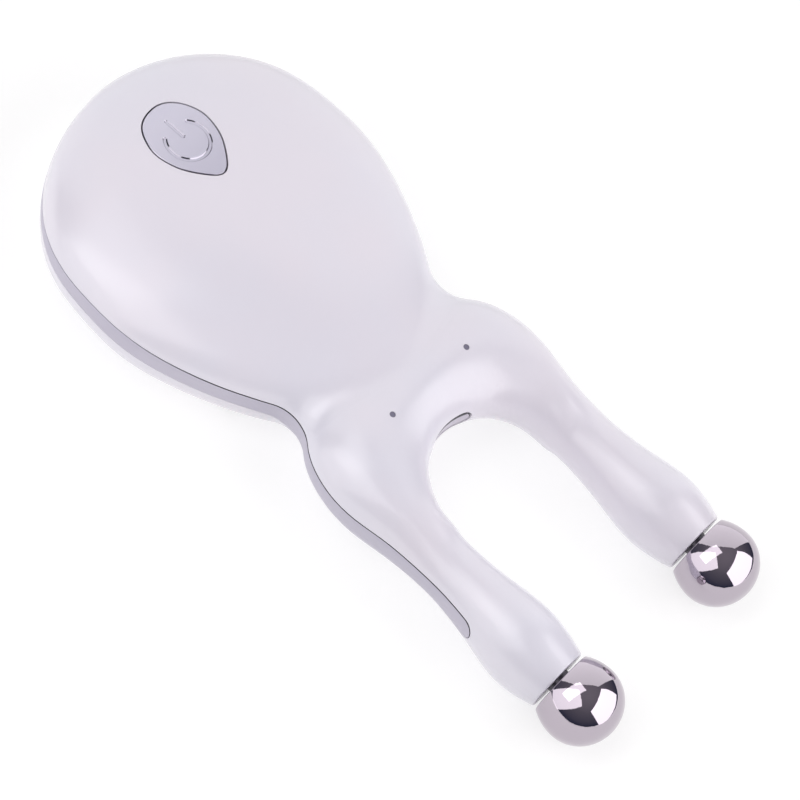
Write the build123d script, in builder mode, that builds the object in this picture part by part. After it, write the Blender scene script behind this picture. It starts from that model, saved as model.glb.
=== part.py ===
from build123d import *
import math
import os

os.makedirs("parts", exist_ok=True)

# ---------------------------------------------------------------- driving sizes (mm)
WALL = 2.0              # moulded shell wall
JOINT_GAP = 0.14        # shadow gap between shell mouldings
BAND_GAP = 0.2          # shadow gap along the silver band
LIP_GAP = 0.12          # clearance behind the mouldings for the locating lip
LIP = 1.0               # locating lip thickness
JUNCTION_R = 9.0        # blend between the head and the fork
TIP_EDGE_R = 0.5        # edge round of the leg ends
REST_Z = 0.0            # flattened underside of the head

LEG_X = 23.4            # roller axis, off centre
LEG_Z = 9.2             # roller axis height
LEG_END_Y = -69.2       # end face of the legs
GAP_AT_BALL = 0.75      # leg end to roller flat
BALL_R = 9.05           # roller radius
BALL_FREE = 8.65        # widest plane to free end
BALL_FLAT = 5.85        # widest plane to the flat
BALL_FLAT_CURVE = 10.1  # half length of the curve that the flat cuts
BALL_EDGE_R = 0.35
BALL_Y = LEG_END_Y - GAP_AT_BALL - BALL_FLAT

AXLE_D = 4.0            # running diameter
AXLE_NECK_D = 5.5       # neck seen in the gap
AXLE_IN_Y = -50.0       # inner end of the axle
AXLE_RUN = 0.04         # radial running clearance
BUSH_D = 8.0
BUSH_L = 8.0
CLIP_D = 6.6
CLIP_T = 0.6
SEAT_D = 10.6
SEAT_L = 13.5

CELL_D = 10.5           # two AAA cells
CELL_L = 44.5
CELL_X = 5.6
CELL_Z = 7.65
TRAY_Y0, TRAY_Y1 = 13.4, 67.0
TRAY_HALF = 12.3
TRAY_WALL = 1.1
TRAY_TOP = 14.6
DOOR_HALF = 13.0
DOOR_TONGUE = 1.0
DOOR_Y0, DOOR_Y1 = 12.4, 68.4
DOOR_T = 1.5
DOOR_GAP = 0.12

BOARD_Z = 16.0
BOARD_T = 1.2
BOARD_HALF = 13.6
BOARD_Y0, BOARD_Y1 = -11.3, 66.6
BOARD_TOP = BOARD_Z + BOARD_T

LED_X, LED_Y = 12.05, -8.3
PIN_D = 1.35            # light outlet in the shell
BUTTON_Y = 62.6         # centre of the button outline
BUTTON_GAP = 0.3
TRIM_GAP = 0.3          # shadow gap round the fork root insert
TRIM_RECESS = 0.2
TRIM_DROP = 0.2         # the insert sits low in its slot
BUTTON_FLANGE = 1.2
BUTTON_T = 1.9
BUTTON_TRAVEL = 0.5
CAP_ROUND = 0.2         # rounding of the button's top edge
SYMBOL_DEPTH = 0.3
SYMBOL_W = 1.1
SYMBOL_R = 4.8
SYMBOL_Y = 61.9       # centre of the ring
SYMBOL_GAP = 46         # half of the ring opening, degrees

SCREW_D = 2.0
SCREW_HEAD_D = 3.9
BOSS_D = 5.2
POST_D = 6.6
SCREW_SEAT_Z = 4.0      # head seat inside the cover post
POST_TOP_Z = 8.8
HOUSING_SCREWS = [(26.5, 50.0), (23.0, 19.0), (22.3, -21.5)]
BOARD_SCREWS = [(10.6, 22.0), (10.6, 56.0)]

# ---------------------------------------------------------------- body form
# along the head: y, half width, mid height, rise above mid, drop below mid
HEAD = [
    (83.6, 7.3, 13.5, 4.4, 6.4), (81.0, 16.3, 13.6, 7.2, 9.9), (75.8, 25.3, 13.6, 9.5, 12.8),
    (67.8, 33.2, 13.3, 11.3, 14.3), (56.8, 37.85, 12.8, 12.6, 13.9), (44.8, 38.9, 12.2, 13.6, 13.3),
    (32.8, 36.8, 11.9, 13.8, 12.9), (20.8, 31.65, 11.9, 13.0, 12.8), (8.8, 24.0, 11.8, 11.6, 12.4),
    (-1.2, 15.8, 11.6, 10.0, 9.3), (-8.2, 9.8, 11.5, 8.9, 8.0)]
NOSE_Y, NOSE_Z = 84.5, 13.4
TAIL_Y, TAIL_Z = -12.8, 11.3
HEAD_UP, HEAD_DOWN = 2.2, 2.8      # fullness of the section above and below mid
# around the fork: inner x, inner y, outer x, outer y, mid z, rise, drop
ARCH = [
    (0.0, -16.7, 0.0, 5.3, 11.5, 10.2, 9.9), (1.7, -16.8, 3.75, 5.29, 11.5, 10.2, 9.9),
    (6.2, -18.1, 13.9, 5.1, 11.5, 10.2, 9.9), (10.9, -21.0, 25.2, 1.1, 11.6, 9.8, 9.8),
    (14.0, -25.0, 30.1, -7.2, 11.5, 9.2, 9.5),
    (15.7, -29.6, 31.0, -16.8, 11.0, 8.5, 8.9), (16.1, -33.9, 29.6, -26.0, 10.6, 7.8, 8.1)]
# along the leg: y, x, z, radius
LEG = [
    (-36.2, 22.7, 10.4, 6.45), (-42.2, 22.75, 10.2, 6.65), (-48.2, 22.85, 9.95, 7.35),
    (-54.2, 23.05, 9.7, 8.35), (-59.7, 23.3, 9.45, 8.8), (-64.2, LEG_X, 9.3, 8.4),
    (-67.4, LEG_X, LEG_Z, 7.65), (LEG_END_Y, LEG_X, LEG_Z, 7.1)]

# side profile of the mould split: y, z of the upper and lower edges of the silver band
BAND_TOP = [(95, 10.8), (84, 11.2), (77, 12.2), (72, 13.2), (67, 14.1), (62, 14.6), (54, 14.95),
            (42, 15.1), (28, 14.8), (15, 14.35), (4, 13.5), (-12, 12.8), (-30, 12.4)]
BAND_LOW = [(95, 9.2), (84, 9.6), (77, 10.5), (72, 11.3), (67, 11.8), (54, 12.0), (42, 11.8),
            (28, 11.3), (15, 10.5), (9, 9.7), (3.5, 7.6), (-12, 7.0), (-30, 6.9)]
BAND_END_Y, BAND_END_Z, BAND_END_R = -50.6, 9.6, 2.7
COVER_END_Y = -47.6


def save(part, name):
    part.label = name
    export_step(part, "parts/" + name + ".step")


def cyl_z(x, y, z0, z1, d):
    return Pos(x, y, (z0 + z1) / 2) * Cylinder(d / 2, z1 - z0, mode=Mode.PRIVATE)


def cyl_y(x, z, y0, y1, d):
    return Pos(x, (y0 + y1) / 2, z) * Rot(90, 0, 0) * Cylinder(d / 2, abs(y1 - y0), mode=Mode.PRIVATE)


def block(x0, x1, y0, y1, z0, z1):
    size = (abs(x1 - x0), abs(y1 - y0), abs(z1 - z0))
    return Pos((x0 + x1) / 2, (y0 + y1) / 2, (z0 + z1) / 2) * Box(*size, mode=Mode.PRIVATE)


def signed_power(v, p):
    return math.copysign(abs(v) ** p, v)


def ring(width, up, down, n_up, n_down, count=16):
    points = []
    for i in range(count):
        a = 2 * math.pi * i / count
        n, h = (n_up, up) if math.sin(a) >= 0 else (n_down, down)
        points.append((width * signed_power(math.cos(a), 2 / n), h * signed_power(math.sin(a), 2 / n)))
    return points


def section(plane, width, up, down, n_up, n_down):
    with BuildSketch(plane) as s:
        with BuildLine():
            Spline(*ring(width, up, down, n_up, n_down), periodic=True)
        make_face()
    return s.sketch


def head_form(inset):
    faces = []
    for y, w, z, up, down in HEAD:
        y -= inset * max(0.0, (y - 60) / (NOSE_Y - 60)) ** 2
        faces.append(section(Plane(origin=(0, y, z), x_dir=(1, 0, 0), z_dir=(0, -1, 0)),
                             w - inset, up - inset, down - inset, HEAD_UP, HEAD_DOWN))
    with BuildPart() as p:
        loft(sections=[Vertex(0, NOSE_Y - inset, NOSE_Z)] + faces + [Vertex(0, TAIL_Y + inset, TAIL_Z)])
    return p.part


def fork_form(inset):
    st = []
    for xi, yi, xo, yo, z, up, down in ARCH:
        length = math.hypot(xo - xi, yo - yi)
        st.append(((xi + xo) / 2, (yi + yo) / 2, z, length / 2, up, down,
                   (xo - xi) / length, (yo - yi) / length))
    for y, x, z, r in LEG:
        k = 1.04 if y > -60 else 1.0
        st.append((x, y, z, r, r * k, r * k, 1.0, 0.0))
    lead_in = [(-x, y, z, a, u, d, -nx, ny) for x, y, z, a, u, d, nx, ny in reversed(st[1:3])]
    faces = []
    for x, y, z, a, up, down, nx, ny in lead_in + st:
        out = Vector(nx, ny, 0)
        faces.append(section(Plane(origin=(x, y, z), x_dir=out, z_dir=out.cross(Vector(0, 0, 1))),
                             a - inset, up - inset, down - inset, 2.0, 2.05))
    with BuildPart() as p:
        loft(sections=faces)
    return p.part


def body_form(inset, junction_r, edge_r=0.0):
    """Closed outer form of the device, moved in by inset."""
    with BuildPart() as half:
        add(head_form(inset))
        add(fork_form(inset))
        with Locations((60, 0, 60 + REST_Z + inset)):
            Box(120, 400, 120, mode=Mode.INTERSECT)
        if inset:
            with Locations((60, LEG_END_Y + inset - 20, 0)):
                Box(120, 40, 200, mode=Mode.SUBTRACT)
        seam = [e for e in half.edges() if -13 < e.center().Y < 9 and 12 < e.length < 40
                and abs(e.center().X) > 0.5 and e.center().Z > 0.6 + inset
                and e.bounding_box().size.X > 12 and e.bounding_box().size.Z > 3]
        if junction_r:
            fillet(seam, junction_r)
        if edge_r:
            rim = [e for e in half.edges() if e.bounding_box().max.Y < LEG_END_Y + 0.01]
            fillet(rim, edge_r)
    with BuildPart() as whole:
        add(half.part)
        add(half.part.mirror(Plane.YZ))
    return whole.part


OUTER = body_form(0.0, JUNCTION_R, TIP_EDGE_R)
CAVITY = body_form(WALL, JUNCTION_R - WALL)
LIP_FACE = body_form(WALL + LIP_GAP, 0.0)
LIP_BACK = body_form(WALL + LIP_GAP + LIP, 0.0)
SHELL = OUTER - CAVITY


def side_zone(points, span=120.0):
    """Slab through the device bounded by a closed outline in the side view (y, z)."""
    with BuildPart() as p:
        with BuildSketch(Plane.YZ):
            with BuildLine():
                Polyline(*points, close=True)
            make_face()
        extrude(amount=span / 2, both=True)
    return p.part


def below(line, drop=0.0, end_y=COVER_END_Y):
    pts = [(y, z - drop) for y, z in line] + [(end_y, line[-1][1] - drop), (end_y, -10), (line[0][0], -10)]
    return side_zone(pts)


def band_zone(gap):
    """Silver band outline in the side view, shrunk all round by gap, with a full-round leg end."""
    top = [(y, z - gap) for y, z in BAND_TOP]
    low = [(y, z + 0.15 * gap) for y, z in reversed(BAND_LOW)]
    r = BAND_END_R - gap
    cy = BAND_END_Y + BAND_END_R
    arc = [(cy - r * math.sin(t * math.pi / 12), BAND_END_Z + r * math.cos(t * math.pi / 12))
           for t in range(0, 13)]
    return side_zone(top + arc + low)


def inside_fork(margin=0.0):
    """Plan-view region between the leg centre lines, used to keep the band on the outer walls."""
    x = 22.6 + margin
    pts = [(-x, -100), (-x, -32), (-21.5, -21), (-17.0, -12), (-8.0, -6.0), (8.0, -6.0),
           (17.0, -12), (21.5, -21), (x, -32), (x, -100)]
    with BuildPart() as p:
        with BuildSketch(Plane.XY.offset(-10)):
            with BuildLine():
                Polyline(*pts, close=True)
            make_face()
        extrude(amount=60)
    return p.part


def crotch_zone(grow=0.0):
    """Small stadium seen from the leg side, for the insert in the fork root."""
    half, zc, r = 4.4, 11.9, 2.35 + grow
    with BuildPart() as p:
        with BuildSketch(Plane(origin=(0, -30, zc), x_dir=(1, 0, 0), z_dir=(0, 1, 0))):
            SlotCenterToCenter(2 * half, 2 * r)
        extrude(amount=21)
    return p.part


def button_outline(grow):
    """Egg outline of the button, blunt end towards the head end, tip towards the legs."""
    half = [(0.0, 9.35), (5.05, 7.4), (6.9, 4.4), (7.6, 1.5), (7.25, -1.5), (6.3, -4.3), (4.6, -7.0),
            (2.75, -9.2), (1.2, -10.5)]
    ring_pts = half + [(0.0, -10.85)] + [(-x, y) for x, y in reversed(half) if x > 0.01]
    moved = []
    for i, (x, y) in enumerate(ring_pts):
        (xa, ya), (xb, yb) = ring_pts[i - 1], ring_pts[(i + 1) % len(ring_pts)]
        length = math.hypot(xb - xa, yb - ya)
        moved.append((x - grow * (yb - ya) / length, BUTTON_Y + y + grow * (xb - xa) / length))
    with BuildSketch(Plane.XY) as sk:
        with BuildLine():
            Spline(*moved, periodic=True)
        make_face()
    return sk.sketch


def prism(face, z0, z1):
    with BuildPart() as p:
        with Locations((0, 0, z0)):
            add(face)
        extrude(amount=z1 - z0)
    return p.part


FORK_INSIDE = inside_fork()
BAND_CUT = band_zone(0.0) - FORK_INSIDE
CROTCH_CUT = crotch_zone()

# ---------------------------------------------------------------- upper housing
BOSSES = Part() + [cyl_z(sx * x, y, POST_TOP_Z + 0.1, 32, BOSS_D)
                   for x, y in HOUSING_SCREWS for sx in (-1, 1)]
BOSSES = BOSSES & OUTER
HOLES = [prism(button_outline(BUTTON_GAP), 15, 40)]
for sx in (-1, 1):
    HOLES.append(cyl_y(sx * LEG_X, LEG_Z, LEG_END_Y - 3, LEG_END_Y + 5, AXLE_NECK_D + 0.12))
    HOLES.append(cyl_z(sx * LED_X, LED_Y, 16, 30, PIN_D))
    HOLES.extend(cyl_z(sx * x, y, 5, 15, SCREW_D + 0.06) for x, y in HOUSING_SCREWS)
with BuildPart() as top_housing:
    add((((SHELL - below(BAND_LOW)) - BAND_CUT) - CROTCH_CUT) + BOSSES)
    add(HOLES, mode=Mode.SUBTRACT)
save(top_housing.part, "top_housing")

# ---------------------------------------------------------------- silver side band
with BuildPart() as side_band:
    add(SHELL)
    add(band_zone(BAND_GAP), mode=Mode.INTERSECT)
    add(inside_fork(0.15), mode=Mode.SUBTRACT)
save(side_band.part, "side_band")

# ---------------------------------------------------------------- insert in the fork root
ROOT_BOX = block(-12, 12, -24, -9, 5, 20)
ROOT_WALL = SHELL & ROOT_BOX
ROOT_VOID = CAVITY & ROOT_BOX
with BuildPart() as crotch_trim:
    add(Pos(0, TRIM_RECESS, 0) * ROOT_WALL)
    add(Pos(0, 0, -TRIM_DROP) * crotch_zone(-TRIM_GAP), mode=Mode.INTERSECT)
    # flange behind the wall holds it
    add(((Pos(0, 0.06, 0) * ROOT_VOID) - (Pos(0, 0.9, 0) * ROOT_VOID)) & crotch_zone(1.0))
save(crotch_trim.part, "crotch_trim")


# ---------------------------------------------------------------- lower cover
LIP_Y = -16.0
LIP_SPAN = block(-60, 60, LIP_Y, 100, -5, 40)
RIM = DOOR_HALF + DOOR_TONGUE + 1.6
RIM_TOP = 3.2
POSTS = Part() + [cyl_z(sx * x, y, -2, POST_TOP_Z, POST_D)
                  for x, y in HOUSING_SCREWS for sx in (-1, 1)]
POSTS = (POSTS + block(-RIM, RIM, DOOR_Y0 - 1.5, TRAY_Y1 + 2.6, 1.0, RIM_TOP)) & OUTER
LIP_LOW = (OUTER - LIP_BACK) & (below(BAND_LOW, JOINT_GAP / 2) - below(BAND_LOW, 1.8)) & LIP_SPAN
LIP_HIGH = (LIP_FACE - LIP_BACK) & (below(BAND_TOP, -1.2) - below(BAND_LOW, 1.8)) & LIP_SPAN
LIP_HIGH = LIP_HIGH - FORK_INSIDE
with BuildPart() as bottom_cover:
    add(SHELL)
    add(below(BAND_LOW, JOINT_GAP / 2, COVER_END_Y + JOINT_GAP), mode=Mode.INTERSECT)
    # locating lip behind the band and the upper housing
    add(LIP_LOW)
    add(LIP_HIGH)
    # rim round the battery opening, tray screw pads, board support
    add(POSTS)
    add(cyl_z(0, -3.0, 1.2, BOARD_Z - 0.05, 4.0))
    for sx in (-1, 1):
        add(cyl_z(sx * (RIM + 0.4), 40, 1.2, RIM_TOP, 5.0))
        for x, y in HOUSING_SCREWS:
            add(cyl_z(sx * x, y, -5, SCREW_SEAT_Z, SCREW_HEAD_D + 0.4), mode=Mode.SUBTRACT)
            add(cyl_z(sx * x, y, -5, POST_TOP_Z + 1, SCREW_D + 0.3), mode=Mode.SUBTRACT)
        add(cyl_z(sx * (RIM + 0.4), 40, 2.3, RIM_TOP + 1, 1.66), mode=Mode.SUBTRACT)
    # door opening, tongue grooves running out at the head end, tray opening
    add(block(-DOOR_HALF - DOOR_GAP, DOOR_HALF + DOOR_GAP, DOOR_Y0 - DOOR_GAP, 95, -5, 0.9),
        mode=Mode.SUBTRACT)
    add(block(-DOOR_HALF - DOOR_TONGUE - DOOR_GAP, DOOR_HALF + DOOR_TONGUE + DOOR_GAP,
              DOOR_Y0 - DOOR_GAP, 95, 0.8, DOOR_T + DOOR_GAP), mode=Mode.SUBTRACT)
    add(block(-TRAY_HALF - 0.1, TRAY_HALF + 0.1, TRAY_Y0 - 0.1, TRAY_Y1 + 0.1, 0.5, 9),
        mode=Mode.SUBTRACT)
save(bottom_cover.part, "bottom_cover")

# ---------------------------------------------------------------- battery door, slides towards the head end
with BuildPart() as battery_door:
    add(block(-DOOR_HALF, DOOR_HALF, DOOR_Y0, DOOR_Y1, 0, DOOR_T))
    add(block(-DOOR_HALF - DOOR_TONGUE, DOOR_HALF + DOOR_TONGUE, DOOR_Y0 + 0.6, DOOR_Y1 - 1.2,
              0.92, DOOR_T))
    add(OUTER, mode=Mode.INTERSECT)
    for k in range(4):
        add(block(-7, 7, DOOR_Y0 + 4 + 1.8 * k, DOOR_Y0 + 4.8 + 1.8 * k, -1, 0.35), mode=Mode.SUBTRACT)
save(battery_door.part, "battery_door")

# ---------------------------------------------------------------- battery tray with its contacts
TX, TW = TRAY_HALF, TRAY_WALL
with BuildPart() as battery_tray:
    add(block(-TX, TX, TRAY_Y0, TRAY_Y1, DOOR_T + 0.3, TRAY_TOP))
    add(block(-TX - 1.9, TX + 1.9, TRAY_Y0 + 1, TRAY_Y1 - 1, RIM_TOP + 0.03, RIM_TOP + 1.0))
    for sx in (-1, 1):
        add(cyl_z(sx * (RIM + 0.4), 40, RIM_TOP + 0.03, RIM_TOP + 1.0, 5.4))
        add(block(sx * TX, sx * (RIM + 0.4), 37.3, 42.7, RIM_TOP + 0.03, RIM_TOP + 1.0))
    add(block(-TX + TW, TX - TW, TRAY_Y0 + TW, TRAY_Y1 - TW, -1, TRAY_TOP - TW), mode=Mode.SUBTRACT)
    add(block(-0.25, 0.25, TRAY_Y0 + 8, TRAY_Y1 - 8, 9.5, TRAY_TOP - TW + 0.2))
    for sx in (-1, 1):
        for y in (26.0, 54.0):
            add(block(sx * (CELL_X - 1.6), sx * (CELL_X + 1.6), y, y + 1.2,
                      CELL_Z + CELL_D / 2 + 0.02, TRAY_TOP - TW + 0.2))
        for x, y in BOARD_SCREWS:
            add(cyl_z(sx * x, y, TRAY_TOP - 0.2, BOARD_Z - 0.02, 4.4))
            add(cyl_z(sx * x, y, 13.4, BOARD_Z + 1, 1.66), mode=Mode.SUBTRACT)
        add(cyl_z(sx * (RIM + 0.4), 40, 0, RIM_TOP + 2, 1.9), mode=Mode.SUBTRACT)
save(battery_tray.part, "battery_tray")

PLATE_T = 0.35
CELL_Y0 = TRAY_Y0 + TW + PLATE_T + 0.05          # nub end of the left cell sits here
CELL_Y1 = TRAY_Y1 - TW - PLATE_T - 0.05


def cell(x, nub_dir):
    """AAA cell; the nub points along nub_dir (+1 or -1) and touches its contact plate."""
    nub = CELL_Y1 if nub_dir > 0 else CELL_Y0
    with BuildPart() as p:
        add(cyl_y(x, CELL_Z, nub - nub_dir * 0.8, nub - nub_dir * CELL_L, CELL_D))
        fillet(p.edges().filter_by(GeomType.CIRCLE), 0.5)
        add(cyl_y(x, CELL_Z, nub, nub - nub_dir * 1.2, 3.8))
    return p.part


save(cell(CELL_X, 1), "battery_cell_right")
save(cell(-CELL_X, -1), "battery_cell_left")


def contact_spring(x, y_from, y_to):
    """Coil between the contact plate at y_from and the flat end of the cell at y_to."""
    length = y_to - y_from
    wire = 0.25
    reach = abs(length) - 2 * wire - 0.06
    up = 1 if length > 0 else -1
    start = (x, y_from + up * (wire + 0.03), CELL_Z)
    with BuildPart() as p:
        with BuildLine():
            path = Helix(pitch=reach / 4, height=reach, radius=2.9, center=start, direction=(0, up, 0))
        with BuildSketch(Plane(origin=path @ 0, z_dir=path % 0)):
            Circle(wire)
        sweep(path=path)
    return p.part


save(contact_spring(CELL_X, CELL_Y0 - 0.05, CELL_Y1 - CELL_L), "contact_spring_front")
save(contact_spring(-CELL_X, CELL_Y1 + 0.05, CELL_Y0 + CELL_L), "contact_spring_rear")
for name, x0, x1, y in (("contact_plate_front_right", 1.2, 10.4, TRAY_Y0 + TW),
                        ("contact_plate_front_left", -10.4, -1.2, TRAY_Y0 + TW),
                        ("contact_plate_rear", -10.4, 10.4, TRAY_Y1 - TW - PLATE_T)):
    with BuildPart() as plate:
        add(block(x0, x1, y, y + PLATE_T, CELL_Z - 4.4, CELL_Z + 4.4))
        fillet(plate.edges().filter_by(Axis.Y), 1.0)
    save(plate.part, name)

# ---------------------------------------------------------------- circuit board and what it carries
with BuildPart() as main_board:
    with BuildSketch(Plane.XY.offset(BOARD_Z)):
        with Locations((0, (BOARD_Y0 + BOARD_Y1) / 2)):
            RectangleRounded(2 * BOARD_HALF, BOARD_Y1 - BOARD_Y0, 2.5)
    extrude(amount=BOARD_T)
    for sx in (-1, 1):
        for x, y in BOARD_SCREWS:
            add(cyl_z(sx * x, y, 10, 20, 1.9), mode=Mode.SUBTRACT)
save(main_board.part, "main_board")

SW_X, SW_Y = 0.0, BUTTON_Y
PLUNGER_TOP = BOARD_TOP + 3.9
with BuildPart() as tact_switch:
    add(block(-3, 3, SW_Y - 3, SW_Y + 3, BOARD_TOP, BOARD_TOP + 3.2))
    fillet(tact_switch.edges().filter_by(Axis.Z), 0.4)
    add(cyl_z(SW_X, SW_Y, BOARD_TOP + 1.0, 30, 3.3), mode=Mode.SUBTRACT)
save(tact_switch.part, "tact_switch")
with BuildPart() as switch_plunger:
    add(cyl_z(SW_X, SW_Y, BOARD_TOP + 1.6, PLUNGER_TOP, 3.2))
save(switch_plunger.part, "switch_plunger")


TOP_STOCK = OUTER & block(-13, 13, 46, 78, 10, 40)
PIPE_STOCK = OUTER & block(-14, 14, -11, -5, 10, 40)


def lowered(dz, stock=TOP_STOCK):
    return Pos(0, 0, -dz) * stock


def height_at(x, y):
    """Height of the outer form over a point."""
    return (block(x - 0.01, x + 0.01, y - 0.01, y + 0.01, 10, 40) & OUTER).bounding_box().max.Z


SYMBOL_TILT = math.atan2(height_at(0, 57) - height_at(0, 66.8), 9.8)
SYMBOL_FACE = Plane(origin=(0, SYMBOL_Y, height_at(0, SYMBOL_Y)), x_dir=(1, 0, 0),
                    z_dir=(0, math.sin(SYMBOL_TILT), math.cos(SYMBOL_TILT)))


def groove(kind):
    """Sloping-sided groove of the power symbol: its ring or its bar."""
    with BuildPart() as p:
        for height, width in ((0.15, SYMBOL_W + 0.3), (-SYMBOL_DEPTH, SYMBOL_W - 2 * SYMBOL_DEPTH)):
            with BuildSketch(SYMBOL_FACE.offset(height)):
                if kind == "ring":
                    with BuildLine(mode=Mode.PRIVATE):
                        arc = CenterArc((0, 0), SYMBOL_R, 90 + SYMBOL_GAP, 360 - 2 * SYMBOL_GAP)
                    SlotArc(arc, width)
                else:
                    with Locations((0, 3.7)):
                        SlotCenterToCenter(4.6, width, rotation=90)
        loft(ruled=True)
    return p.part


with BuildPart() as button_cap:
    add((prism(button_outline(0.0), 14, 40) & TOP_STOCK) - lowered(3.4))
    side = max((f for f in button_cap.faces() if f.geom_type == GeomType.EXTRUSION), key=lambda f: f.area)
    rim = [e for e in side.edges() if e.center().Z > side.center().Z + 0.3 and e.bounding_box().size.X > 1]
    fillet(rim, CAP_ROUND)
FLANGE = (prism(button_outline(BUTTON_FLANGE), 14, 40) & lowered(2.5)) - lowered(3.4)
STEM = cyl_z(SW_X, SW_Y, PLUNGER_TOP, 23.2, 4.4)
with BuildPart() as power_button:
    add(button_cap.part + FLANGE + STEM)
    add(groove("ring"), mode=Mode.SUBTRACT)
    add(groove("bar"), mode=Mode.SUBTRACT)
save(power_button.part, "power_button")

with BuildPart() as microcontroller:
    add(block(-3.5, 3.5, 6, 13, BOARD_TOP, BOARD_TOP + 1.0))
    add(block(-4.4, 4.4, 6.6, 12.4, BOARD_TOP, BOARD_TOP + 0.25))
    with Locations((-2.6, 12.1, BOARD_TOP + 1.0)):
        Cylinder(0.35, 0.3, mode=Mode.SUBTRACT)
save(microcontroller.part, "microcontroller")
with BuildPart() as boost_transformer:
    add(block(-4.5, 4.5, 26, 35, BOARD_TOP, BOARD_TOP + 1.0))
    add(cyl_z(0, 30.5, BOARD_TOP, BOARD_TOP + 5.2, 7.0))
    add(cyl_z(0, 30.5, BOARD_TOP + 4.4, BOARD_TOP + 5.4, 8.6))
save(boost_transformer.part, "boost_transformer")
for name, sx in (("storage_capacitor_left", -1), ("storage_capacitor_right", 1)):
    with BuildPart() as cap:
        add(cyl_z(sx * 10.2, 40, BOARD_TOP, BOARD_TOP + 5.4, 5.0))
        fillet(cap.edges().filter_by(GeomType.CIRCLE), 0.4)
        add(block(sx * 10.2 - 2.8, sx * 10.2 + 2.8, 37.2, 42.8, BOARD_TOP, BOARD_TOP + 0.6))
    save(cap.part, name)
for name, sx in (("left", -1), ("right", 1)):
    save(block(sx * LED_X - 0.8, sx * LED_X + 0.8, LED_Y - 0.6, LED_Y + 0.6, BOARD_TOP, BOARD_TOP + 0.7),
         "led_" + name)
    with BuildPart() as pipe:
        add(cyl_z(sx * LED_X, LED_Y, BOARD_TOP + 0.8, 30, 2 * (PIN_D / 2 - 0.04)))
        add(cyl_z(sx * LED_X, LED_Y, BOARD_TOP + 0.8, BOARD_TOP + 1.7, 2.6))
        add(lowered(0.12, PIPE_STOCK), mode=Mode.INTERSECT)
    save(pipe.part, "light_pipe_" + name)

# ---------------------------------------------------------------- screws
def screw(x, y, z_seat, length, d, head_d, head_t, up):
    """Pan screw on z; the head lies on the side given by up, the shank runs the other way."""
    with BuildPart() as p:
        add(cyl_z(x, y, *sorted((z_seat, z_seat - up * length)), d))
        add(cyl_z(x, y, *sorted((z_seat, z_seat + up * head_t)), head_d))
        slot = z_seat + up * head_t
        for w, h in ((head_d * 0.62, 0.5), (0.5, head_d * 0.62)):
            with Locations((x, y, slot)):
                Box(w, h, 0.9, mode=Mode.SUBTRACT)
    return p.part


k = 0
for x, y in HOUSING_SCREWS:
    for sx in (-1, 1):
        k += 1
        save(screw(sx * x, y, SCREW_SEAT_Z, 9.5, SCREW_D, SCREW_HEAD_D, 1.5, -1), f"housing_screw_{k}")
k = 0
for x, y in BOARD_SCREWS:
    for sx in (-1, 1):
        k += 1
        save(screw(sx * x, y, BOARD_TOP, 3.3, 1.6, 3.0, 1.1, 1), f"board_screw_{k}")
for name, sx in (("tray_screw_left", -1), ("tray_screw_right", 1)):
    save(screw(sx * (RIM + 0.4), 40, RIM_TOP + 1.0, 1.8, 1.6, 3.0, 1.0, 1), name)

# ---------------------------------------------------------------- rollers
BUSH_Y = BALL_Y + BALL_FLAT - 0.6                 # bush face inside the roller flat
AXLE_OUT_Y = BUSH_Y - BUSH_L - 1.2
CAVITY_END_Y = AXLE_OUT_Y - 0.7


def roller(x):
    """Ball with a flat towards the leg, bored for the bush."""
    with BuildPart() as p:
        with BuildSketch(Plane(origin=(x, BALL_Y, LEG_Z), x_dir=(1, 0, 0), z_dir=(0, 0, 1))):
            with BuildLine():
                n = 14
                free = [(BALL_R * math.cos(t), -BALL_FREE * math.sin(t))
                        for t in [math.pi / 2 * i / n for i in range(n, -1, -1)]]
                cut = math.asin(BALL_FLAT / BALL_FLAT_CURVE)
                near = [(BALL_R * math.cos(t), BALL_FLAT_CURVE * math.sin(t))
                        for t in [cut * i / 8 for i in range(1, 9)]]
                Spline(*(free + near), tangents=[(1, 0), (-0.62, 1)], tangent_scalars=[1, 1])
                Line(near[-1], (0, BALL_FLAT))
                Line((0, BALL_FLAT), (0, -BALL_FREE))
            make_face()
        revolve(axis=Axis((x, BALL_Y, LEG_Z), (0, 1, 0)))
        rim = p.edges().filter_by(GeomType.CIRCLE).sort_by(Axis.Y)[-1]
        fillet(rim, BALL_EDGE_R)
        add(cyl_y(x, LEG_Z, BALL_Y + BALL_FLAT + 1, CAVITY_END_Y, BUSH_D), mode=Mode.SUBTRACT)
    return p.part


def bush(x):
    with BuildPart() as p:
        add(cyl_y(x, LEG_Z, BUSH_Y, BUSH_Y - BUSH_L, BUSH_D))
        add(cyl_y(x, LEG_Z, 0, -100, AXLE_D + 2 * AXLE_RUN), mode=Mode.SUBTRACT)
    return p.part


NECK_END_Y = BUSH_Y + 0.25
GROOVE_Y = BUSH_Y - BUSH_L - 0.2


def axle(x):
    with BuildPart() as p:
        add(cyl_y(x, LEG_Z, AXLE_IN_Y, NECK_END_Y, AXLE_NECK_D))
        add(cyl_y(x, LEG_Z, NECK_END_Y, AXLE_OUT_Y, AXLE_D))
        add(cyl_y(x, LEG_Z, AXLE_IN_Y + 1.6, AXLE_IN_Y, AXLE_D))
        add(cyl_y(x, LEG_Z, GROOVE_Y, GROOVE_Y - CLIP_T - 0.04, 9) - cyl_y(x, LEG_Z, 0, -100, 3.2),
            mode=Mode.SUBTRACT)
        chamfer(p.edges().filter_by(GeomType.CIRCLE).sort_by(Axis.Y)[0], 0.3)
    return p.part


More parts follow.
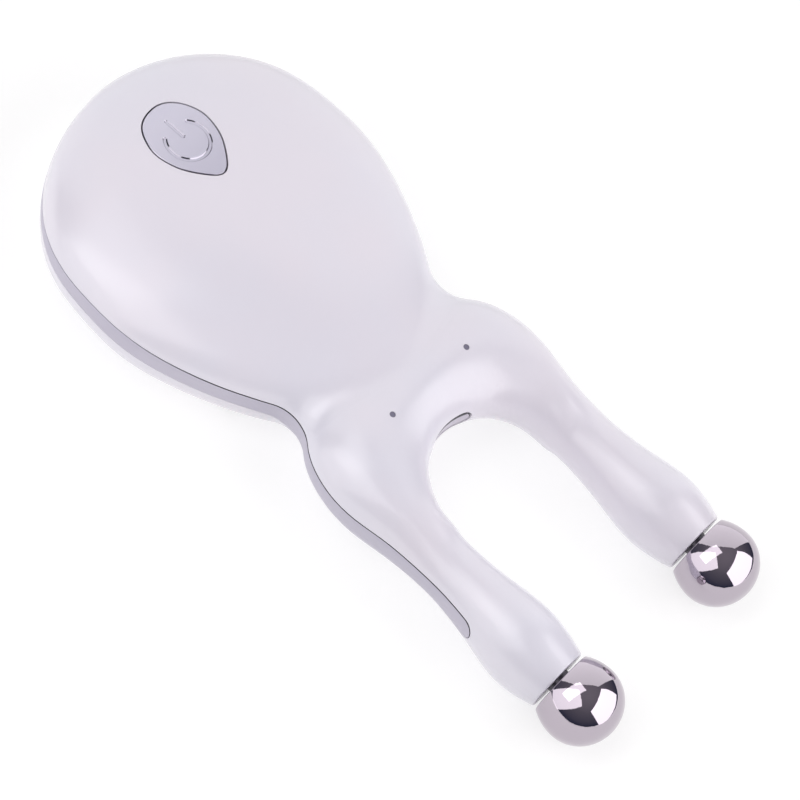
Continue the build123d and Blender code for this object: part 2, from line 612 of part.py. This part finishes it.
def clip(x):
    with BuildPart() as p:
        add(cyl_y(x, LEG_Z, GROOVE_Y - 0.02, GROOVE_Y - 0.02 - CLIP_T, CLIP_D))
        add(cyl_y(x, LEG_Z, 0, -100, 3.24), mode=Mode.SUBTRACT)
        add(block(x - 0.9, x + 0.9, -100, 0, LEG_Z, LEG_Z + 6), mode=Mode.SUBTRACT)
    return p.part


def seat(x):
    """Moulded block that carries the axle inside the leg end."""
    y0 = LEG_END_Y + WALL + 0.05
    with BuildPart() as p:
        add(cyl_y(x, LEG_Z, y0, y0 + SEAT_L, SEAT_D))
        fillet(p.edges().filter_by(GeomType.CIRCLE), 0.8)
        add(cyl_y(x, LEG_Z, 0, -100, AXLE_NECK_D + 0.02), mode=Mode.SUBTRACT)
    return p.part


def terminal(x):
    """Ring tag clamped on the inner end of the axle."""
    with BuildPart() as p:
        add(cyl_y(x, LEG_Z, AXLE_IN_Y + 1.3, AXLE_IN_Y + 0.7, 6.6))
        add(block(x - 1.0, x + 1.0, AXLE_IN_Y + 0.7, AXLE_IN_Y + 1.3, LEG_Z + 2.5, LEG_Z + 4.6))
        add(cyl_y(x, LEG_Z, 0, -100, AXLE_D + 0.02), mode=Mode.SUBTRACT)
    return p.part


def lead_wire(sx):
    pts = [(sx * LEG_X, AXLE_IN_Y + 1.9, LEG_Z + 3.9), (sx * 23.3, -42, 12.0), (sx * 24.2, -33, 12.0),
           (sx * 27.0, -22, 12.4), (sx * 26.0, -12, 13.4), (sx * 20.5, -5, 14.6), (sx * 16.2, -2.6, 15.2),
           (sx * 12.2, -2.0, BOARD_Z - 0.57)]
    with BuildPart() as p:
        with BuildLine():
            path = Spline(*pts)
        with BuildSketch(Plane(origin=path @ 0, z_dir=path % 0)):
            Circle(0.55)
        sweep(path=path)
    return p.part


for name, sx in (("left", -1), ("right", 1)):
    x = sx * LEG_X
    save(roller(x), "ball_roller_" + name)
    save(bush(x), "roller_bush_" + name)
    save(axle(x), "roller_axle_" + name)
    save(clip(x), "retaining_clip_" + name)
    save(seat(x), "axle_seat_" + name)
    save(terminal(x), "lead_terminal_" + name)
    save(lead_wire(sx), "lead_wire_" + name)
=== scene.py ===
"""Facial toning device: surfaces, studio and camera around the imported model. Metres, in the model's frame."""

import math

import bpy
from mathutils import Matrix, Vector

MM = 0.001

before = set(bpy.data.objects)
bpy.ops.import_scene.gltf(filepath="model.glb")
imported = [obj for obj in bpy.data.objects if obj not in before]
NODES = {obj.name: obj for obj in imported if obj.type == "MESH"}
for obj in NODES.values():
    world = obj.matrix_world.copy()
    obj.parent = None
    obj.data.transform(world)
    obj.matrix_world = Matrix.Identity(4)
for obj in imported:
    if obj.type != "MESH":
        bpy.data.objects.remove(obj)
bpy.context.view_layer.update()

# ------------------------------------------------------------------ camera
CAMERA_LEAN = math.radians(32)       # towards -X, away from straight down
CAMERA_TIP = math.radians(7)         # towards the rollers
CAMERA_DISTANCE = 0.832
CAMERA_TARGET = Vector((0, -5.2, 8.2)) * MM
SENSOR_MM = 36
FOCAL_PX = 4019                      # for the 800 px frame
FRAME_PX = 800
ROLL_COS, ROLL_SIN = 0.7278, 0.6858  # the picture turned about the view axis


def view_axes():
    """Camera axes in the model's frame: right, up and the direction from the target to the camera."""
    lean, tip = CAMERA_LEAN, CAMERA_TIP
    back = Vector((-math.sin(lean) * math.cos(tip), -math.sin(tip), math.cos(lean) * math.cos(tip)))
    along = (Vector((0, -1, 0)) - math.sin(tip) * back) / math.cos(tip)
    across = Vector((math.cos(lean), 0, math.sin(lean)))
    right = ROLL_COS * along + ROLL_SIN * across
    up = -ROLL_SIN * along + ROLL_COS * across
    return right.normalized(), up.normalized(), back


RIGHT, UP, BACK = view_axes()


def add_camera():
    data = bpy.data.cameras.new("camera")
    data.sensor_width = SENSOR_MM
    data.lens = FOCAL_PX * SENSOR_MM / FRAME_PX
    data.clip_start, data.clip_end = 0.05, 20
    camera = bpy.data.objects.new("camera", data)
    bpy.context.scene.collection.objects.link(camera)
    turn = Matrix((RIGHT, UP, BACK)).transposed().to_4x4()
    camera.matrix_world = Matrix.Translation(CAMERA_TARGET + BACK * CAMERA_DISTANCE) @ turn
    bpy.context.scene.camera = camera


# ------------------------------------------------------------------ materials
def srgb(r, g, b):
    """Linear colour from 0..255 sRGB."""
    def lin(v):
        v /= 255
        return v / 12.92 if v <= 0.04045 else ((v + 0.055) / 1.055) ** 2.4
    return (lin(r), lin(g), lin(b), 1)


def fill_ramp(ramp, stops):
    """Gives a colour ramp its stops, pairs of position and colour."""
    elements = ramp.color_ramp.elements
    while len(elements) < len(stops):
        elements.new(0.5)
    for element, (position, color) in zip(elements, stops):
        element.position, element.color = position, color


class Surface:
    """A Principled material with procedural tint, roughness and relief, in the piece's own coordinates."""

    def __init__(self, name, color, roughness, **values):
        self.material = bpy.data.materials.new(name)
        self.material.use_nodes = True
        self.tree = self.material.node_tree
        self.shader = self.tree.nodes["Principled BSDF"]
        self.shader.inputs["Base Color"].default_value = color
        self.shader.inputs["Roughness"].default_value = roughness
        for key, value in values.items():
            self.shader.inputs[key.replace("_", " ")].default_value = value
        self.color = color
        self.coords = self.node("ShaderNodeTexCoord").outputs["Object"]

    def node(self, kind, **settings):
        new_node = self.tree.nodes.new(kind)
        for key, value in settings.items():
            setattr(new_node, key, value)
        return new_node

    def link(self, a, b):
        self.tree.links.new(a, b)

    def noise(self, scale, detail=2.0, stretch=None):
        tex = self.node("ShaderNodeTexNoise")
        tex.inputs["Scale"].default_value = scale
        tex.inputs["Detail"].default_value = detail
        if stretch:
            mapping = self.node("ShaderNodeMapping")
            mapping.inputs["Scale"].default_value = stretch
            self.link(self.coords, mapping.inputs["Vector"])
            self.link(mapping.outputs["Vector"], tex.inputs["Vector"])
        else:
            self.link(self.coords, tex.inputs["Vector"])
        return tex.outputs["Fac"]

    def calc(self, operation, a, b=0.0):
        """A math operation on a and, where it takes two values, b; each is a number or an output."""
        step = self.node("ShaderNodeMath", operation=operation)
        for socket, value in zip(step.inputs, (a, b)):
            if isinstance(value, float):
                socket.default_value = value
            else:
                self.link(value, socket)
        return step.outputs["Value"]

    def step(self, value, start, end):
        """0 at start, 1 at end, straight between."""
        span = self.node("ShaderNodeMapRange")
        span.inputs["From Min"].default_value = start
        span.inputs["From Max"].default_value = end
        self.link(value, span.inputs["Value"])
        return span.outputs["Result"]

    def split(self, output):
        """X, Y and Z of the piece's own position or normal."""
        parts = self.node("ShaderNodeSeparateXYZ")
        self.link(self.node("ShaderNodeTexCoord").outputs[output], parts.inputs["Vector"])
        return parts.outputs["X"], parts.outputs["Y"], parts.outputs["Z"]

    def shade(self, mask, other):
        """Mixes the colour towards another one where the mask is 1."""
        base = self.shader.inputs["Base Color"]
        mix = self.node("ShaderNodeMix", data_type="RGBA")
        if base.is_linked:
            self.link(base.links[0].from_socket, mix.inputs["A"])
        else:
            mix.inputs["A"].default_value = self.color
        mix.inputs["B"].default_value = other
        self.link(mask, mix.inputs["Factor"])
        self.link(mix.outputs["Result"], base)
        return self

    def tint(self, other, scale, low=0.35, high=0.65):
        """Slow drift of the colour towards another one."""
        return self.shade(self.step(self.noise(scale), low, high), other)

    def rough(self, low, high, scale, detail=3.0, stretch=None):
        span = self.node("ShaderNodeMapRange")
        span.inputs["To Min"].default_value = low
        span.inputs["To Max"].default_value = high
        self.link(self.noise(scale, detail, stretch), span.inputs["Value"])
        self.link(span.outputs["Result"], self.shader.inputs["Roughness"])
        return self

    def relief(self, height, scale, stretch=None, strength=1.0):
        bump = self.node("ShaderNodeBump")
        bump.inputs["Strength"].default_value = strength
        bump.inputs["Distance"].default_value = height
        self.link(self.noise(scale, stretch=stretch), bump.inputs["Height"])
        self.link(bump.outputs["Normal"], self.shader.inputs["Normal"])
        return self


def wear(surface, *names):
    """Gives CAD nodes one material."""
    for name in names:
        mesh = NODES[name].data
        mesh.materials.clear()
        mesh.materials.append(surface.material)


# colour of the painted shadow in the band's and the insert's joints
SEAM_SHADOW_COLOR = srgb(52, 50, 60)

# the band's parting line, lengths in mm: first (y, z) along the upper edge of the band's slot, as in the
# solids' source; the band's own edge lies 0.2 lower
BAND_TOP = [(-50.6, 9.6), (-50.2, 10.9), (-49.3, 11.9), (-47.9, 12.3), (-30, 12.4), (-12, 12.8),
            (4, 13.5), (15, 14.35), (28, 14.8), (42, 15.1), (54, 14.95), (62, 14.6), (67, 14.1),
            (72, 13.2), (77, 12.2), (84, 11.2), (95, 10.8)]
RAMP_HEIGHT = 20             # the height that white stands for in the ramp
SEAM_WIDTH = 0.34            # painted shadow from the slot's edge down, so about 0.1 of it is on the band's side wall
SEAM_BLUR = 0.1              # the last part of the width, over which it fades
SEAM_END = (22, 42)          # the painted shadow fades out towards the head end, between these y
EDGE_NORMAL = (0.6, 0.75)    # normal Z at which the painted shadow on the band's edge face begins and is full

# the fork root insert, a lying stadium, lengths in mm
INSERT_HALF = 4.4            # from its middle to the centre of each rounded end
INSERT_Z = 11.7
INSERT_RIM = (1.9, 1.98)     # distance from the centre line where the painted shadow begins and is full
INSERT_JOINT = (1.3, 1.5)    # the same for the upper joint, by height over the centre line
INSERT_ENDS = (6.2, 5.2)     # distance from the middle where the upper joint's painted shadow ends and is full

# the button: polish where it turns away from the top, by normal Z, and painted shade on the end towards the
# rollers
POLISH_NORMAL = (0.9, 0.78)
POLISH_ROUGHNESS = 0.09
POLISH_METAL_START = -0.25   # leaves the plain top at a metallic value of 0.2
BUTTON_SHADE_Y = (68, 52)    # mm, from plain to full painted shade


def polished_edges(surface, color):
    """Groove flanks and rounded rim of the button: bright metal, where the form turns away from the top."""
    turned = surface.step(surface.split("Normal")[2], *POLISH_NORMAL)
    surface.shade(turned, color)
    roughness = surface.shader.inputs["Roughness"]
    smooth = surface.calc("MULTIPLY", roughness.links[0].from_socket, surface.step(turned, 1.0, 0.0))
    surface.link(surface.calc("MAXIMUM", smooth, POLISH_ROUGHNESS), roughness)
    surface.link(surface.step(turned, POLISH_METAL_START, 1.0), surface.shader.inputs["Metallic"])


def band_seam_shadow(surface):
    """Painted shadow on the band's edge face and on about 0.1 mm of the side wall under it."""
    _, y, z = surface.split("Object")
    y0, y1, height = BAND_TOP[0][0] * MM, BAND_TOP[-1][0] * MM, RAMP_HEIGHT * MM
    ramp = surface.node("ShaderNodeValToRGB")
    fill_ramp(ramp, [((py * MM - y0) / (y1 - y0), (pz * MM / height,) * 3 + (1,)) for py, pz in BAND_TOP])
    surface.link(surface.step(y, y0, y1), ramp.inputs["Fac"])
    depth = surface.calc("SUBTRACT", surface.calc("MULTIPLY", ramp.outputs["Color"], height), z)
    line = surface.step(depth, SEAM_WIDTH * MM, (SEAM_WIDTH - SEAM_BLUR) * MM)
    edge = surface.step(surface.split("Normal")[2], *EDGE_NORMAL)
    near = surface.step(y, SEAM_END[1] * MM, SEAM_END[0] * MM)
    surface.shade(surface.calc("MULTIPLY", surface.calc("MAXIMUM", line, edge), near), SEAM_SHADOW_COLOR)


def insert_seam_shadow(surface):
    """Painted shadow round the fork root insert."""
    x, _, z = surface.split("Object")
    from_middle = surface.calc("ABSOLUTE", x)
    out = surface.calc("MAXIMUM", surface.calc("SUBTRACT", from_middle, INSERT_HALF * MM), 0.0)
    up = surface.calc("SUBTRACT", z, INSERT_Z * MM)
    squares = surface.calc("ADD", surface.calc("MULTIPLY", out, out), surface.calc("MULTIPLY", up, up))
    rim = surface.step(surface.calc("SQRT", squares), INSERT_RIM[0] * MM, INSERT_RIM[1] * MM)
    # the upper joint gets painted shadow, except at the ends
    middle = surface.step(from_middle, INSERT_ENDS[0] * MM, INSERT_ENDS[1] * MM)
    joint = surface.step(up, INSERT_JOINT[0] * MM, INSERT_JOINT[1] * MM)
    top = surface.calc("MULTIPLY", joint, middle)
    surface.shade(surface.calc("MAXIMUM", rim, top), SEAM_SHADOW_COLOR)


PEARL = Surface("pearl_white", srgb(223, 221, 232), 0.42, Coat_Weight=1.0, Coat_Roughness=0.23, Coat_IOR=1.6)
PEARL.tint(srgb(226, 221, 231), 28).rough(0.39, 0.45, 90).relief(0.00001, 260, strength=0.25)
SATIN = Surface("satin_silver", srgb(196, 192, 206), 0.42, Metallic=0.15)
SATIN.tint(srgb(192, 188, 203), 60).rough(0.38, 0.46, 400).relief(0.000006, 2400, strength=0.3)
# painted shadow along the band's upper joint
band_seam_shadow(SATIN)
INSERT = Surface("insert_silver", srgb(200, 193, 206), 0.4, Metallic=0.1)
INSERT.tint(srgb(196, 190, 203), 60).rough(0.36, 0.44, 400).relief(0.000006, 2400, strength=0.3)
# painted shadow round the insert
insert_seam_shadow(INSERT)
BUTTON = Surface("button_silver", srgb(208, 205, 220), 0.34,
                 Metallic=0.2, Coat_Weight=0.5, Coat_Roughness=0.1)
BUTTON.tint(srgb(206, 203, 219), 60).rough(0.33, 0.40, 500).relief(0.000006, 2600, strength=0.3)
# painted shade: the end towards the rollers is darker
roller_end_shade = BUTTON.step(BUTTON.split("Object")[1], BUTTON_SHADE_Y[0] * MM, BUTTON_SHADE_Y[1] * MM)
BUTTON.shade(roller_end_shade, srgb(190, 187, 204))
polished_edges(BUTTON, srgb(170, 167, 178))
CHROME = Surface("roller_chrome", srgb(187, 178, 188), 0.05, Metallic=1.0)
CHROME.rough(0.035, 0.07, 700).relief(0.000002, 900, strength=0.15)
DARK_STEEL = Surface("axle_steel", srgb(96, 94, 100), 0.3, Metallic=1.0)
DARK_STEEL.rough(0.24, 0.36, 300, stretch=(1, 12, 1)).relief(0.000004, 600, stretch=(1, 14, 1), strength=0.4)
STEEL = Surface("bright_steel", srgb(178, 178, 184), 0.3, Metallic=1.0)
STEEL.rough(0.25, 0.38, 600).relief(0.000003, 1200, strength=0.3)
SMOKED = Surface("smoked_light_pipe", srgb(118, 115, 134), 0.16)
SMOKED.rough(0.15, 0.28, 900)
BLACK = Surface("black_plastic", srgb(40, 40, 43), 0.5)
BLACK.rough(0.44, 0.58, 500).relief(0.00001, 1800, strength=0.4)
WHITE = Surface("plain_white_plastic", srgb(205, 204, 208), 0.5)
WHITE.rough(0.45, 0.56, 500).relief(0.00001, 1500, strength=0.3)
SLEEVE = Surface("cell_sleeve", srgb(40, 72, 110), 0.35)
SLEEVE.rough(0.3, 0.42, 300).tint(srgb(36, 66, 102), 120)
BOARD = Surface("solder_mask", srgb(18, 84, 48), 0.35)
BOARD.tint(srgb(14, 70, 40), 400).rough(0.3, 0.42, 500)
COPPER = Surface("enamelled_copper", srgb(172, 96, 50), 0.35, Metallic=0.8)
COPPER.rough(0.28, 0.44, 700).relief(0.00002, 900, stretch=(1, 1, 8), strength=0.5)
RESIN = Surface("clear_resin", srgb(238, 236, 215), 0.15)
RESIN.rough(0.12, 0.2, 900)
WIRE = Surface("wire_insulation", srgb(160, 30, 28), 0.45)
WIRE.rough(0.4, 0.52, 800)

SIDES = ("left", "right")
wear(PEARL, "top_housing", "bottom_cover", "battery_door")
wear(SATIN, "side_band")
wear(INSERT, "crotch_trim")
wear(BUTTON, "power_button")
wear(CHROME, *("ball_roller_" + s for s in SIDES))
wear(DARK_STEEL, *("roller_axle_" + s for s in SIDES))
wear(STEEL, *("retaining_clip_" + s for s in SIDES), *("lead_terminal_" + s for s in SIDES),
     *("tray_screw_" + s for s in SIDES), *(f"housing_screw_{i}" for i in range(1, 7)),
     *(f"board_screw_{i}" for i in range(1, 5)), "contact_spring_front", "contact_spring_rear",
     "contact_plate_front_left", "contact_plate_front_right", "contact_plate_rear",
     *("storage_capacitor_" + s for s in SIDES))
wear(SMOKED, *("light_pipe_" + s for s in SIDES))
wear(BLACK, "battery_tray", "tact_switch", "switch_plunger", "microcontroller")
wear(WHITE, *("axle_seat_" + s for s in SIDES), *("roller_bush_" + s for s in SIDES))
wear(SLEEVE, *("battery_cell_" + s for s in SIDES))
wear(BOARD, "main_board")
wear(COPPER, "boost_transformer")
wear(RESIN, *("led_" + s for s in SIDES))
wear(WIRE, *("lead_wire_" + s for s in SIDES))


# ------------------------------------------------------------------ studio
def in_view(right, up, back):
    """Direction given along the picture's right and up and towards the camera."""
    return RIGHT * right + UP * up + BACK * back


def soft_box(name, toward, long_side, distance, size, radiance, color):
    """Rectangular lamp seen from the target in direction toward, its length along long_side."""
    data = bpy.data.lights.new(name, "AREA")
    data.shape = "RECTANGLE"
    data.size, data.size_y = size
    data.energy = radiance * math.pi * size[0] * size[1]
    data.color = color
    lamp = bpy.data.objects.new(name, data)
    bpy.context.scene.collection.objects.link(lamp)
    back = toward.normalized()
    along = (long_side - back * long_side.dot(back)).normalized()
    turn = Matrix((along, back.cross(along), back)).transposed().to_4x4()
    lamp.matrix_world = Matrix.Translation(CAMERA_TARGET + back * distance) @ turn
    lamp.visible_camera = False


WORLD_COLOR = (0.97, 0.96, 1.0, 1)
WORLD_LEVEL = 0.1
# what metal and gloss see of the room, by height above the table (sine of the elevation)
ROOM = [(0.0, (0.03, 0.036, 0.07, 1)), (0.2, (0.08, 0.08, 0.11, 1)), (0.6, (0.14, 0.135, 0.16, 1)),
        (1.0, (0.24, 0.225, 0.25, 1))]


def add_world():
    """Even soft light; metal and gloss see the dim room."""
    world = bpy.data.worlds.new("studio")
    bpy.context.scene.world = world
    world.use_nodes = True
    tree = world.node_tree
    even = tree.nodes["Background"]
    even.inputs["Color"].default_value = WORLD_COLOR
    even.inputs["Strength"].default_value = WORLD_LEVEL
    split = tree.nodes.new("ShaderNodeSeparateXYZ")
    tree.links.new(tree.nodes.new("ShaderNodeTexCoord").outputs["Generated"], split.inputs["Vector"])
    ramp = tree.nodes.new("ShaderNodeValToRGB")
    fill_ramp(ramp, ROOM)
    tree.links.new(split.outputs["Z"], ramp.inputs["Fac"])
    room = tree.nodes.new("ShaderNodeBackground")
    tree.links.new(ramp.outputs["Color"], room.inputs["Color"])
    mix = tree.nodes.new("ShaderNodeMixShader")
    tree.links.new(tree.nodes.new("ShaderNodeLightPath").outputs["Is Glossy Ray"], mix.inputs["Fac"])
    tree.links.new(even.outputs["Background"], mix.inputs[1])
    tree.links.new(room.outputs["Background"], mix.inputs[2])
    tree.links.new(mix.outputs["Shader"], tree.nodes["World Output"].inputs["Surface"])


def paper(name, color, lift, spill):
    """Matt paper with an even glow: lift for camera, glossy and transmission rays, spill for all others."""
    material = bpy.data.materials.new(name)
    material.use_nodes = True
    tree = material.node_tree
    shader = tree.nodes["Principled BSDF"]
    shader.inputs["Base Color"].default_value = color
    shader.inputs["Roughness"].default_value = 0.9
    shader.inputs["Specular IOR Level"].default_value = 0.0
    path = tree.nodes.new("ShaderNodeLightPath")
    seen = path.outputs["Is Camera Ray"]
    for kind in ("Is Glossy Ray", "Is Transmission Ray"):
        either = tree.nodes.new("ShaderNodeMath")
        either.operation = "MAXIMUM"
        tree.links.new(seen, either.inputs[0])
        tree.links.new(path.outputs[kind], either.inputs[1])
        seen = either.outputs["Value"]
    level = tree.nodes.new("ShaderNodeMapRange")
    level.inputs["To Min"].default_value = spill
    level.inputs["To Max"].default_value = lift
    tree.links.new(seen, level.inputs["Value"])
    glow = tree.nodes.new("ShaderNodeEmission")
    tree.links.new(level.outputs["Result"], glow.inputs["Strength"])
    total = tree.nodes.new("ShaderNodeAddShader")
    tree.links.new(shader.outputs["BSDF"], total.inputs[0])
    tree.links.new(glow.outputs["Emission"], total.inputs[1])
    tree.links.new(total.outputs["Shader"], tree.nodes["Material Output"].inputs["Surface"])
    return material


def sheet(name, matrix, size, material):
    """Flat stage panel."""
    bpy.ops.mesh.primitive_plane_add(size=1)
    panel = bpy.context.object
    panel.name = name
    panel.matrix_world = matrix @ Matrix.Diagonal((size[0], size[1], 1, 1))
    panel.data.materials.append(material)
    return panel


FLOOR_Z = -0.0002        # just under the rest face
FLOOR_SIZE = (9, 9)
FLOOR_COLOR = (0.42, 0.42, 0.42, 1)
WALL_DISTANCE = 2.6      # backdrop behind the far side, towards +X +Y
WALL_SIZE = (7.4, 7.2)
WALL_COLOR = (0.9, 0.9, 0.9, 1)


def add_stage():
    sheet("floor", Matrix.Translation((0, 0, FLOOR_Z)), FLOOR_SIZE,
          paper("floor_white", FLOOR_COLOR, lift=0.64, spill=0.56))
    toward = Vector((1, 1, 0)).normalized()
    side = Vector((-1, 1, 0)).normalized()
    turn = Matrix((side, Vector((0, 0, 1)), -toward)).transposed().to_4x4()
    middle = toward * WALL_DISTANCE + Vector((0, 0, WALL_SIZE[1] / 2 + FLOOR_Z))
    wall = sheet("backdrop", Matrix.Translation(middle) @ turn, WALL_SIZE,
                 paper("backdrop_white", WALL_COLOR, lift=0.88, spill=0.6))
    wall.visible_shadow = False


add_camera()
add_world()
add_stage()
soft_box("soft_box_left", in_view(-0.565, 0.06, 0.82), long_side=in_view(-0.881, -0.209, -0.679),
         distance=0.52, size=(0.74, 0.45), radiance=1.48, color=(1.0, 0.985, 0.985))
soft_box("soft_box_hot", in_view(-0.27, 0.44, 0.86), long_side=in_view(0.8, 0.6, 0),
         distance=0.95, size=(0.95, 0.42), radiance=1.5, color=(1.0, 0.98, 0.99))
soft_box("soft_box_right", in_view(0.904, -0.191, 0.381), long_side=in_view(0.385, 0.951, -0.438),
         distance=0.95, size=(1.28, 1.02), radiance=2.1, color=(1.0, 0.98, 0.99))
bpy.context.scene.view_settings.view_transform = "Standard"
